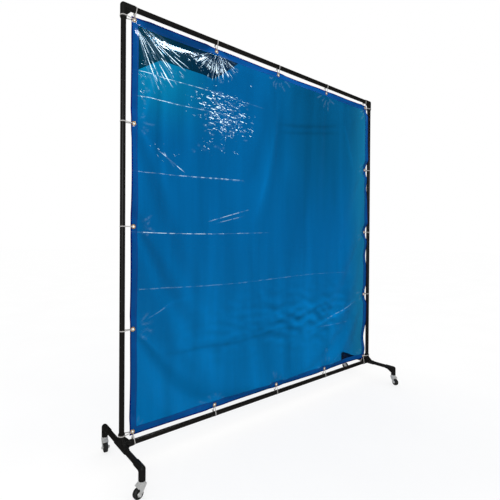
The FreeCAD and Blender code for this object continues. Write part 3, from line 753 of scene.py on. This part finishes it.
def resampled(values, lines, targets):
    """Values given on lines, read smoothly at the targets, along the first axis."""
    index = np.clip(np.searchsorted(lines, targets) - 1, 0, len(lines) - 2)
    share = (targets - lines[index]) / (lines[index + 1] - lines[index])
    share = share.reshape((-1,) + (1,) * (values.ndim - 1))
    before = values[np.maximum(index - 1, 0)]
    start = values[index]
    end = values[index + 1]
    after = values[np.minimum(index + 2, len(lines) - 1)]
    bend = 2 * before - 5 * start + 4 * end - after
    twist = 3 * (start - end) + after - before
    return start + 0.5 * share * (end - before + share * (bend + share * twist))


def drape_on(x_lines, z_lines):
    """The simulated movement at every point of the fine grid."""
    coarse_x, coarse_z, shift = simulated_drape()
    shift = resampled(shift, coarse_x, x_lines)
    return resampled(shift.swapaxes(0, 1), coarse_z, z_lines).swapaxes(0, 1)


class Crease:
    """A line in the film through a few (x, z) points.

    It stands proud by height, fades at its ends and carries painted light or shade by paleness: paler as a
    painted highlight where that is positive, darker as painted shade where it is negative.
    """

    def __init__(self, points, half_width, height, painted_paleness=0.0, fade=0.3):
        self.points = np.array(points)
        self.half_width = half_width
        self.height = height
        self.painted_paleness = painted_paleness
        self.fade = fade

    def profile(self, x, z):
        """How strongly each place belongs to the crease, from 0 to 1."""
        steps = np.diff(self.points, axis=0)
        lengths = np.hypot(steps[:, 0], steps[:, 1])
        total = lengths.sum()
        nearest = np.full(x.shape, np.inf)
        along = np.zeros(x.shape)
        walked = 0.0
        for start, step, length in zip(self.points, steps, lengths):
            share = ((x - start[0]) * step[0] + (z - start[1]) * step[1]) / length ** 2
            share = np.clip(share, 0.0, 1.0)
            distance = np.hypot(x - start[0] - share * step[0], z - start[1] - share * step[1])
            closer = distance < nearest
            nearest = np.where(closer, distance, nearest)
            along = np.where(closer, (walked + share * length) / total, along)
            walked += length
        strength = smooth(np.minimum(along, 1.0 - along) / self.fade)
        return strength / (1.0 + (nearest / self.half_width) ** 2) ** 1.5


def wandering(start, end, wander, draw, pieces=4):
    """Points of a line from start to end that strays a little to either side."""
    start = np.array(start)
    end = np.array(end)
    step = end - start
    side = np.array([-step[1], step[0]]) / np.hypot(*step)
    points = []
    for index in range(pieces + 1):
        stray = 0.0 if index in (0, pieces) else draw.uniform(-wander, wander)
        points.append(start + step * index / pieces + side * stray)
    return points


def fan(centre, first, last, count, near, far, height, draw):
    """Creases that pull away from an eyelet, between two headings in degrees above +X."""
    creases = []
    for index in range(count):
        heading = math.radians(first + (last - first) * (index + draw.uniform(-0.3, 0.3)) / (count - 1))
        towards = np.array([math.cos(heading), math.sin(heading)])
        start = np.array(centre) + towards * draw.uniform(0.7, 1.3) * near
        end = np.array(centre) + towards * draw.uniform(0.6, 1.1) * far
        points = wandering(start, end, 0.006, draw)
        # The paleness is a painted glint along the crease.
        creases.append(Crease(points, 0.0042, height * draw.uniform(0.6, 1.2), painted_paleness=0.05))
    return creases


def sparkle(low, high, heading, spread_angle, count, length, height, draw):
    """Short creases scattered over a rectangle, mostly along one heading."""
    creases = []
    for _ in range(count):
        middle = np.array([draw.triangular(low[0], high[0]), draw.triangular(low[1], high[1])])
        angle = math.radians(heading + draw.uniform(-spread_angle, spread_angle))
        half = 0.5 * length * draw.uniform(0.5, 1.4) * np.array([math.cos(angle), math.sin(angle)])
        points = [middle - half, middle + half]
        # The paleness is a painted glint along the crease.
        creases.append(Crease(points, 0.0036, height * draw.uniform(0.5, 1.2), painted_paleness=0.06, fade=0.45))
    return creases


def packing_folds():
    """The level creases left by the film's folding for packing."""
    creases = []
    stations = np.linspace(curtain_low.x + HEM_WIDTH, curtain_high.x - HEM_WIDTH, 13)
    for index, (height, strength, _) in enumerate(PACKING_FOLDS):
        points = [(x, height + FOLD_WANDER * math.sin(FOLD_WAVES * x + index)) for x in stations]
        up_or_down = 1 - 2 * (index % 2)
        creases.append(Crease(points, LINE_RELIEF_WIDTH, up_or_down * FOLD_RELIEF * strength, fade=0.05))
    return creases


def soft_folds():
    """Broad folds, each with its path, half width, height, and how much paler than the rest its painted light
    makes it, or darker by painted shade where that is negative.
    """
    return [
        Crease([(0.005, 1.82), (-0.024, 1.544), (-0.09, 1.265), (-0.20, 0.98)], 0.026, -0.0030, 0.13),
        Crease([(-0.09, 1.80), (-0.10, 1.55), (-0.18, 1.30), (-0.26, 1.20)], 0.050, 0.0030, -0.10),
        Crease([(-0.752, 1.68), (-0.785, 1.56), (-0.815, 1.42)], 0.012, -0.0030, 0.14),
        Crease([(-0.70, 1.68), (-0.715, 1.45), (-0.71, 1.10)], 0.016, -0.0025, 0.08),
        Crease([(-0.73, 1.66), (-0.745, 1.45), (-0.745, 1.20)], 0.012, 0.0025, -0.08),
        Crease([(-0.60, 1.68), (-0.62, 1.45), (-0.61, 1.25)], 0.022, 0.0020, -0.05),
        Crease([(0.60, 1.72), (0.66, 1.60), (0.72, 1.40)], 0.014, -0.0030, 0.08),
        Crease([(0.15, 1.35), (0.13, 1.00), (0.12, 0.70)], 0.060, -0.0020, -0.05),
        Crease([(-0.05, 1.575), (0.16, 1.60), (0.40, 1.64), (0.62, 1.69)], 0.011, 0.0030, -0.13),
        Crease([(-0.05, 1.530), (0.16, 1.56), (0.40, 1.60), (0.62, 1.64)], 0.010, 0.0025, -0.10),
        Crease(
            [(-0.80, 0.443), (-0.506, 0.439), (-0.314, 0.427), (0.025, 0.452), (0.221, 0.431)],
            0.009, 0.0025, -0.13,
        ),
        Crease([(0.24, 0.400), (0.42, 0.445), (0.58, 0.480), (0.80, 0.560)], 0.010, -0.0030, 0.16),
        Crease([(0.30, 0.375), (0.50, 0.405), (0.72, 0.415)], 0.010, 0.0026, -0.09),
        Crease([(-0.30, 0.560), (0.00, 0.525), (0.30, 0.540), (0.60, 0.600)], 0.016, -0.0026, 0.07),
        Crease([(-0.10, 0.500), (0.15, 0.490), (0.35, 0.500)], 0.012, 0.0026, -0.08),
        Crease([(-0.80, 0.602), (-0.727, 0.639), (-0.66, 0.668), (-0.55, 0.680)], 0.010, -0.0020, 0.07),
    ]


def single_creases():
    """The longer creases that stand out on their own."""
    creases = []
    for index, (start, end, strength) in enumerate(THIN_CREASES):
        up_or_down = 1 - 2 * (index % 2)
        creases.append(Crease([start, end], LINE_RELIEF_WIDTH, up_or_down * SINGLE_RELIEF * strength))
    return creases


def sharp_creases():
    """The pull fans at the eyelets, the crinkles, the packing folds and the single creases."""
    draw = random.Random(SEED)
    top = EYELET_Z[-1]
    creases = fan((EYELET_X[0], top), -72.0, -12.0, 12, 0.045, 0.30, 0.0010, draw)
    creases += fan((EYELET_X[1], top), -150.0, -15.0, 14, 0.030, 0.15, 0.0014, draw)
    creases += sparkle((-0.66, 1.74), (-0.38, 1.83), -22.0, 12.0, 10, 0.070, 0.0009, draw)
    creases += sparkle((-0.56, 1.43), (-0.20, 1.66), 0.0, 25.0, 60, 0.040, 0.0010, draw)
    creases += sparkle((-0.83, 1.45), (-0.78, 1.72), -40.0, 20.0, 14, 0.020, 0.0013, draw)
    creases += sparkle((-0.60, 1.34), (-0.28, 1.43), -20.0, 15.0, 7, 0.040, 0.0013, draw)
    for eyelet in EYELET_X[2:]:
        creases += fan((eyelet, top), -150.0, -30.0, 6, 0.030, 0.11, 0.0009, draw)
    for eyelet in EYELET_X:
        creases += fan((eyelet, EYELET_Z[0]), 30.0, 150.0, 5, 0.030, 0.10, 0.0008, draw)
    for height in EYELET_Z[1:-1]:
        creases += fan((EYELET_X[0], height), -35.0, 35.0, 4, 0.030, 0.10, 0.0007, draw)
        creases += fan((EYELET_X[-1], height), 145.0, 215.0, 4, 0.030, 0.10, 0.0008, draw)
    return creases + packing_folds() + single_creases()


def crumples(x, z):
    """Soft low relief: long folds hanging from the top, and crinkles low down."""
    relief = np.zeros(x.shape)
    for row in range(x.shape[0]):
        for column in range(x.shape[1]):
            px = x[row, column]
            pz = z[row, column]
            hanging = noise.noise(Vector((7.0 * px, 1.0, 0.9 * pz)))
            crinkled = noise.noise(Vector((16.0 * px - 9.0 * pz, 7.0, 26.0 * pz + 5.0 * px)))
            off_x = (px - CRINKLE_MIDDLE[0]) / CRINKLE_SPREAD[0]
            off_z = (pz - CRINKLE_MIDDLE[1]) / CRINKLE_SPREAD[1]
            low = math.exp(-off_x ** 2 - off_z ** 2)
            relief[row, column] = HANGING_RELIEF * hanging + CRINKLE_RELIEF * low * crinkled
    return relief


def tautness(x, z):
    """How much of the simulated movement stays, between TAUT_SHARE and all of it."""
    below_hem = smooth((curtain_high.z - z) / TAUT_DEPTH)
    to_the_left = smooth((EYELET_X[1] + TAUT_START - x) / TAUT_BLEND)
    return np.maximum(np.maximum(below_hem, to_the_left), TAUT_SHARE)


def scallop(x, z):
    """How far the edges draw in between eyelets, as movements along X and Z."""
    def sag(position, eyelets):
        return np.sin(np.pi * (position - eyelets[0]) / BAY) ** 2

    middle_z = (curtain_low.z + curtain_high.z) / 2
    near_right = smooth((x - curtain_high.x + SCALLOP_REACH) / SCALLOP_REACH)
    near_left = smooth((curtain_low.x + SCALLOP_REACH - x) / SCALLOP_REACH)
    near_top = smooth((z - curtain_high.z + SCALLOP_REACH) / SCALLOP_REACH)
    near_bottom = smooth((curtain_low.z + SCALLOP_REACH - z) / SCALLOP_REACH)
    deeper_low = 1.0 + 0.8 * smooth((middle_z - z) / 0.6)
    move_x = sag(z, EYELET_Z) * (near_left * SCALLOP_LEFT - near_right * SCALLOP_RIGHT) * deeper_low
    move_z = sag(x, EYELET_X) * (near_bottom * SCALLOP_BOTTOM - near_top * SCALLOP_TOP)
    return move_x, move_z


def edge_push(x, z):
    """How far the right edge curls, back where it leaves a gap beside the upright and forward elsewhere."""
    near_right = smooth((x - curtain_high.x + CURL_REACH) / CURL_REACH)
    curled = np.zeros(x.shape)
    for low, high, depth in CURLED_BACK:
        reach = (high - low) / 2
        curled = np.maximum(curled, depth * smooth((reach - np.abs(z - (low + high) / 2)) / reach))
    return near_right * (curled - CURL_FORWARD)


def hole_ring(x, z):
    """Points moved onto a circle where their block round an eyelet ends, and which lie inside it."""
    inside = np.zeros(x.shape, dtype=bool)
    tolerance = HOLE_BLOCK / 50
    for eyelet_x, eyelet_z in eyelet_places():
        off_x = x - eyelet_x
        off_z = z - eyelet_z
        block = np.maximum(np.abs(off_x), np.abs(off_z))
        ring = np.abs(block - HOLE_BLOCK) < tolerance
        length = np.hypot(off_x, off_z)
        x = np.where(ring, eyelet_x + off_x / np.maximum(length, tolerance) * HOLE_BLOCK, x)
        z = np.where(ring, eyelet_z + off_z / np.maximum(length, tolerance) * HOLE_BLOCK, z)
        inside |= block < HOLE_BLOCK - tolerance
    return x, z, inside


def sheet_faces(inside):
    """Faces of the front layer, of the back layer, and of the walls that join their open edges."""
    columns, rows = inside.shape
    layer = columns * rows
    number = np.arange(layer).reshape(columns, rows)
    corners = np.stack([number[:-1, :-1], number[1:, :-1], number[1:, 1:], number[:-1, 1:]], axis=-1)
    hidden = inside[:-1, :-1] | inside[1:, :-1] | inside[1:, 1:] | inside[:-1, 1:]
    front = corners[~hidden].tolist()
    back = [[corner + layer for corner in reversed(face)] for face in front]
    edges = set()
    for a, b, c, d in front:
        edges.update(((a, b), (b, c), (c, d), (d, a)))
    walls = [[b, a, a + layer, b + layer] for a, b in sorted(edges) if (b, a) not in edges]
    return front + back + walls


def build_film(material):
    x_lines = grid_lines(EYELET_X, (FINE_CELLS, FINE_CELLS, COARSE_CELLS, COARSE_CELLS))
    z_lines = grid_lines(EYELET_Z, (COARSE_CELLS, COARSE_CELLS, COARSE_CELLS, FINE_CELLS))
    x, z = np.meshgrid(x_lines, z_lines, indexing="ij")
    edge = np.minimum(
        np.minimum(x - curtain_low.x, curtain_high.x - x),
        np.minimum(z - curtain_low.z, curtain_high.z - z),
    )
    free = freedom(x, z)
    drape = drape_on(x_lines, z_lines) * (free * tautness(x, z))[..., None]
    relief = crumples(x, z)
    painted_paleness = np.zeros(x.shape)
    # Painted shade and light: the film's tilt and the soft folds darken or lighten what it lets through, kept
    # in the shade attribute.
    soft = SHADED_DRAPE * drape[..., 1] + relief
    slope = 0.6 * np.gradient(soft, x_lines, axis=0) + 0.8 * np.gradient(soft, z_lines, axis=1)
    shade = np.clip(1.0 + SLOPE_SHADE * slope, DARKEST_SHADE, PALEST_SHADE)
    for fold in soft_folds():
        strength = fold.profile(x, z)
        relief += fold.height * strength
        shade += FOLD_PAINTED_SHADE * fold.painted_paleness * strength
    # The sharp creases' paleness is a painted glint, kept in the crease attribute.
    for crease in sharp_creases():
        strength = crease.profile(x, z)
        relief += crease.height * strength
        painted_paleness = np.maximum(painted_paleness, crease.painted_paleness * strength ** 2)
    calm = free * (0.35 + 0.65 * smooth((edge - HEM_WIDTH) / 0.01))
    surface = drape[..., 1] + relief * calm + edge_push(x, z) * free
    weld = np.abs(edge - WELD_INSET) < WELD_HALF_WIDTH / 2
    move_x, move_z = scallop(x, z)
    ring_x, ring_z, inside = hole_ring(x, z)
    placed_x = ring_x + ALONG_SHARE * drape[..., 0] + move_x * free
    placed_z = ring_z + DOWN_SHARE * drape[..., 2] + move_z * free
    front_y = SHEET_FRONT + surface + weld * WELD_DEPTH
    thickness = np.where(edge < HEM_WIDTH + HEM_STEP / 2, HEM_THICKNESS, FILM_THICKNESS)
    back_y = front_y + thickness - 2 * weld * WELD_DEPTH
    front = np.stack([placed_x, front_y, placed_z], axis=-1).reshape(-1, 3)
    back = np.stack([placed_x, back_y, placed_z], axis=-1).reshape(-1, 3)
    mesh = bpy.data.meshes.new("curtain_film")
    mesh.from_pydata(np.concatenate([front, back]).tolist(), [], sheet_faces(inside))
    # crease holds painted glints, and shade holds painted shade and light.
    attributes = {"edge_distance": edge, "crease": painted_paleness * calm, "weld": weld, "shade": shade}
    for name, values in attributes.items():
        both = np.tile(values.reshape(-1).astype(np.float32), 2)
        mesh.attributes.new(name, "FLOAT", "POINT").data.foreach_set("value", both)
    mesh.materials.append(material)
    mesh.shade_smooth()
    piece = bpy.data.objects.new("curtain_film", mesh)
    bpy.context.scene.collection.objects.link(piece)
    remove_loose_points(mesh)
    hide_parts("curtain_sheet")
    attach(piece, "frame")


def remove_loose_points(mesh):
    """Drops the grid points inside the eyelet holes, which no face uses."""
    grid = bmesh.new()
    grid.from_mesh(mesh)
    loose = [point for point in grid.verts if not point.link_faces]
    bmesh.ops.delete(grid, geom=loose, context="VERTS")
    grid.to_mesh(mesh)
    grid.free()


# ---------------------------------------------------------------- CAD pieces

def dress_cad_pieces():
    """Gives each carried-over CAD piece the material of its slot."""
    makers = {
        "tube": tube_material,
        "fitting": fitting_material,
        "eyelet": brass_material,
        "cable_tie": cable_tie_material,
        "stem_insert": stem_insert_material,
        "zinc": zinc_material,
        "bearing_steel": bearing_steel_material,
        "wheel_hub": wheel_hub_material,
        "tyre": tyre_material,
    }
    materials = {slot: make() for slot, make in makers.items()}
    for part in frame["record"]["subparts"]:
        if part["material_slot"] not in materials:
            continue
        piece = frame["nodes"][part["node"]]
        for slot in piece.material_slots:
            slot.material = materials[part["material_slot"]]


# ---------------------------------------------------------------- studio

def build_camera():
    data = bpy.data.cameras.new("camera")
    data.sensor_width = SENSOR_WIDTH
    data.lens = CAMERA_LENS
    data.shift_x, data.shift_y = CAMERA_SHIFT
    camera = bpy.data.objects.new("camera", data)
    facing = Matrix.Rotation(-CAMERA_HEADING, 4, "Z") @ Matrix.Rotation(math.pi / 2 + CAMERA_PITCH, 4, "X")
    camera.matrix_world = Matrix.Translation(CAMERA_PLACE) @ facing @ Matrix.Rotation(CAMERA_ROLL, 4, "Z")
    bpy.context.scene.collection.objects.link(camera)
    bpy.context.scene.camera = camera


def soft_light(name, place, aim, width, height, power):
    data = bpy.data.lights.new(name, "AREA")
    data.shape = "RECTANGLE"
    data.size = width
    data.size_y = height
    data.energy = power
    light = bpy.data.objects.new(name, data)
    light.location = place
    towards = Vector(aim) - Vector(place)
    light.rotation_euler = towards.to_track_quat("-Z", "Y").to_euler()
    light.visible_camera = False
    bpy.context.scene.collection.objects.link(light)


def light_only(name, pieces):
    """Keeps a light to a few pieces, so that its highlights don't fall on the rest."""
    lit = bpy.data.collections.new(name + "_lit")
    for piece in pieces:
        lit.objects.link(piece)
    bpy.data.objects[name].light_linking.receiver_collection = lit


def build_lights():
    soft_light("front_bank", (-2.4, -2.3, 1.6), (0.0, 0.0, 1.0), 1.2, 1.6, 22.0)
    soft_light("overhead_bank", (0.35, -0.80, 3.25), (-0.5, 0.0, 1.6), 2.2, 0.50, 95.0)
    light_only("overhead_bank", [bpy.data.objects["curtain_film"]])


def build_world():
    """A white room that gives soft light, and looks dimmer in reflections."""
    world = bpy.data.worlds.new("studio")
    world.use_nodes = True
    tree = world.node_tree
    tree.nodes.clear()
    output = tree.nodes.new("ShaderNodeOutputWorld")
    background = tree.nodes.new("ShaderNodeBackground")
    rays = tree.nodes.new("ShaderNodeLightPath")
    level = tree.nodes.new("ShaderNodeMapRange")
    level.inputs["To Min"].default_value = 1.0
    level.inputs["To Max"].default_value = REFLECTED_ROOM
    tree.links.new(rays.outputs["Is Glossy Ray"], level.inputs["Value"])
    tree.links.new(level.outputs["Result"], background.inputs["Strength"])
    tree.links.new(background.outputs["Background"], output.inputs["Surface"])
    background.inputs["Color"].default_value = (1.0, 1.0, 1.0, 1.0)
    bpy.context.scene.world = world


def build_floor():
    mesh = bpy.data.meshes.new("floor")
    reach = 30.0
    level = cad_box[0][2]
    mesh.from_pydata(
        [(-reach, -reach, level), (reach, -reach, level), (reach, reach, level), (-reach, reach, level)],
        [], [(0, 1, 2, 3)],
    )
    floor = bpy.data.objects.new("floor", mesh)
    bpy.context.scene.collection.objects.link(floor)
    shader = Shader("pale_floor")
    cloud = shader.noise(2.0, detail=4.0)
    glossy = shader.add("ShaderNodeLightPath").outputs["Is Glossy Ray"]
    shader.set(
        Base_Color=shader.mix(glossy, shader.mix(cloud, grey(0.24), grey(0.27)), grey(REFLECTED_ROOM)),
        Roughness=0.9,
        Specular_IOR_Level=0.0,
        Emission_Color=shader.mix(glossy, grey(1.0), grey(0.0)),
        Emission_Strength=FLOOR_GLOW,
    )
    mesh.materials.append(shader.material)


def build_painted_dark_reflection():
    """A dark glowing card, a painted dark reflection, which shows only through the film and only near the
    camera's direction.
    """
    scale = (PAINTED_REFLECTION_DEPTH - CAMERA_PLACE.y) / -CAMERA_PLACE.y
    corners = [CAMERA_PLACE + (Vector((x, 0.0, z)) - CAMERA_PLACE) * scale for x, z in PAINTED_REFLECTION_OUTLINE]
    mesh = bpy.data.meshes.new("dark_end")
    mesh.from_pydata(corners, [], [tuple(range(len(corners)))])
    piece = bpy.data.objects.new("dark_end", mesh)
    bpy.context.scene.collection.objects.link(piece)
    for rays in ("visible_diffuse", "visible_glossy", "visible_transmission", "visible_shadow"):
        setattr(piece, rays, False)
    shader = Shader("dark_end", surface=False)
    middle = sum(corners, Vector()) / len(corners)
    sight = shader.tree.nodes.new("ShaderNodeVectorMath")
    sight.operation = "DOT_PRODUCT"
    shader.feed(sight.inputs[0], shader.add("ShaderNodeNewGeometry").outputs["Incoming"])
    shader.feed(sight.inputs[1], (CAMERA_PLACE - middle).normalized())
    near_sight = shader.math("GREATER_THAN", sight.outputs["Value"], math.cos(math.radians(PAINTED_REFLECTION_SPREAD)))
    crossed = shader.add("ShaderNodeLightPath").outputs["Transparent Depth"]
    behind_film = shader.math("GREATER_THAN", crossed, 0.5)
    # The card's faint glow is the painted dark reflection.
    dim = shader.add("ShaderNodeEmission", Color=PAINTED_REFLECTION_COLOUR, Strength=1.0).outputs["Emission"]
    nothing = shader.add("ShaderNodeBsdfTransparent").outputs["BSDF"]
    seen = blended(shader, shader.math("MULTIPLY", near_sight, behind_film), nothing, dim)
    shader.link(seen, shader.output.inputs["Surface"])
    mesh.materials.append(shader.material)


dress_cad_pieces()
build_film(film_material())
build_camera()
build_lights()
build_world()
build_floor()
build_painted_dark_reflection()
bpy.context.scene.view_settings.view_transform = "Standard"
